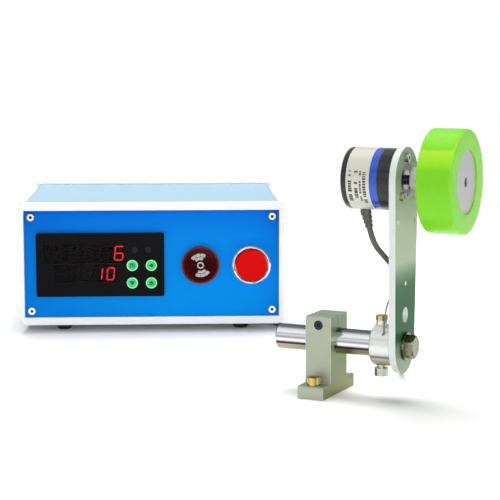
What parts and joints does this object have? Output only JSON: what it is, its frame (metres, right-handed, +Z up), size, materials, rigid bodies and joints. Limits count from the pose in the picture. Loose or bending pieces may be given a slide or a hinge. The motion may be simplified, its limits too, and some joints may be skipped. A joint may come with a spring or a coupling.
{
  "type": "cable length counter",
  "caption": "Desktop length counter: a display box with keys, buzzer and push button, and a spring-loaded measuring wheel with encoder on a swing arm, rod and mounting block.",
  "frame": {"origin": "centre of the mounting block's underside, on the surface that the stand and the box both rest on", "axes": "+X to the right along the box's front face, +Y from the viewer to the box's back, +Z up"},
  "size_m": [0.3055, 0.5833, 0.1678],
  "materials": {
    "frame_plastic": "smooth white moulding",
    "case_paint": "pale blue satin paint",
    "panel_paint": "saturated blue satin paint",
    "black_plastic": "fine matt black",
    "smoked_window": "smoked clear pane",
    "display": "dark display blocks",
    "green_lamp": "clear coloured lamp bodies",
    "green_key": "green keys",
    "board": "green laminate",
    "buzzer_shell": "dark red moulding",
    "buzzer_red": "deep red translucent front",
    "bright_chrome": "bright plating",
    "red_cap": "bright red cap",
    "screw_steel": "plated steel",
    "spring_steel": "drawn wire",
    "rod_chrome": "ground and plated bar",
    "socket_metal": "plated shell",
    "block_aluminium": "clear anodised",
    "machined_aluminium": "machined and clear anodised",
    "bush_brass": "sintered bronze",
    "bearing_steel": "bearing races",
    "black_anodised": "black anodised",
    "silver_label": "silver foil",
    "blue_band": "blue printed band",
    "code_glass": "clear slotted disc",
    "lime_tyre": "lime polyurethane",
    "black_rubber": "matt rubber",
    "cable_jacket": "soft grey-black jacket"
  },
  "bodies": {
    "base": {"end_frames": "frame_plastic", "case_cover": "case_paint", "case_tray": "case_paint", "front_panel": "panel_paint", "rear_panel": "panel_paint", "meter_bezel": "black_plastic", "meter_case": "black_plastic", "meter_clips": "black_plastic", "panel_nuts": "black_plastic", "button_contact_block": "black_plastic", "mains_inlet": "black_plastic", "switch_frame": "black_plastic", "meter_window": "smoked_window", "digit_displays": "display", "alarm_lamps": "green_lamp", "meter_board": "board", "buzzer_body": "buzzer_shell", "buzzer_lens": "buzzer_red", "button_collar": "bright_chrome", "case_screws": "screw_steel", "base_screws": "screw_steel", "block_clamp_screw": "screw_steel", "encoder_socket": "socket_metal", "cable_plug": "socket_metal", "mount_block": "block_aluminium", "rubber_feet": "black_rubber", "cable_run": "cable_jacket", "cable_coil": "cable_jacket", "cable_tail": "cable_jacket"},
    "rod": {"support_rod": "rod_chrome", "pivot_washer": "screw_steel", "pivot_bolt": "screw_steel", "spring_hub": "machined_aluminium", "hub_lock_screw": "screw_steel", "hub_top_screw": "screw_steel", "torsion_spring": "spring_steel"},
    "arm": {"swing_arm": "machined_aluminium", "arm_bush": "bush_brass", "spring_pin": "screw_steel", "encoder_flange": "black_anodised", "encoder_screws": "screw_steel", "encoder_bearings": "bearing_steel", "encoder_cover": "black_anodised", "encoder_label": "silver_label", "encoder_band": "blue_band", "encoder_board": "board", "cable_boot": "black_rubber", "encoder_cable": "cable_jacket"},
    "wheel": {"encoder_shaft": "screw_steel", "code_disc": "code_glass", "wheel_core": "machined_aluminium", "wheel_set_screw": "screw_steel", "wheel_tyre": "lime_tyre"},
    "menu_key": {"key_menu": "green_key"},
    "shift_key": {"key_shift": "green_key"},
    "down_key": {"key_down": "green_key"},
    "up_key": {"key_up": "green_key"},
    "reset_button": {"button_cap": "red_cap", "button_spring": "screw_steel"},
    "rocker": {"power_rocker": "black_plastic"}
  },
  "joints": [
    {"name": "rod_slide", "type": "slide", "parent": "base", "child": "rod", "axis": [0.8812, -0.4727, 0], "range_m": [-0.015, 0.012], "deforming": ["encoder_cable"]},
    {"name": "arm_swing", "type": "hinge", "parent": "rod", "child": "arm", "pos_m": [0, 0, 0.0335], "axis": [-0.8812, 0.4727, 0], "range_deg": [0, 45], "stiffness_Nm_per_rad": 0.43, "springref_deg": -20.05, "deforming": ["torsion_spring", "encoder_cable"]},
    {"name": "wheel_spin", "type": "hinge", "parent": "arm", "child": "wheel", "pos_m": [0, 0, 0.136], "axis": [0.8812, -0.4727, 0], "continuous": true},
    {"name": "menu_press", "type": "slide", "parent": "base", "child": "menu_key", "axis": [0, 1, 0], "range_m": [0, 0.0006], "stiffness_N_per_m": 1200, "springref_m": -0.0004},
    {"name": "shift_press", "type": "slide", "parent": "base", "child": "shift_key", "axis": [0, 1, 0], "range_m": [0, 0.0006], "stiffness_N_per_m": 1200, "springref_m": -0.0004},
    {"name": "down_press", "type": "slide", "parent": "base", "child": "down_key", "axis": [0, 1, 0], "range_m": [0, 0.0006], "stiffness_N_per_m": 1200, "springref_m": -0.0004},
    {"name": "up_press", "type": "slide", "parent": "base", "child": "up_key", "axis": [0, 1, 0], "range_m": [0, 0.0006], "stiffness_N_per_m": 1200, "springref_m": -0.0004},
    {"name": "button_press", "type": "slide", "parent": "base", "child": "reset_button", "axis": [0, 1, 0], "range_m": [0, 0.004], "stiffness_N_per_m": 800, "springref_m": -0.002},
    {"name": "rocker_tilt", "type": "hinge", "parent": "base", "child": "rocker", "pos_m": [-0.0905, 0.3869, 0.051], "axis": [1, 0, 0], "range_deg": [0, 16]}
  ]
}
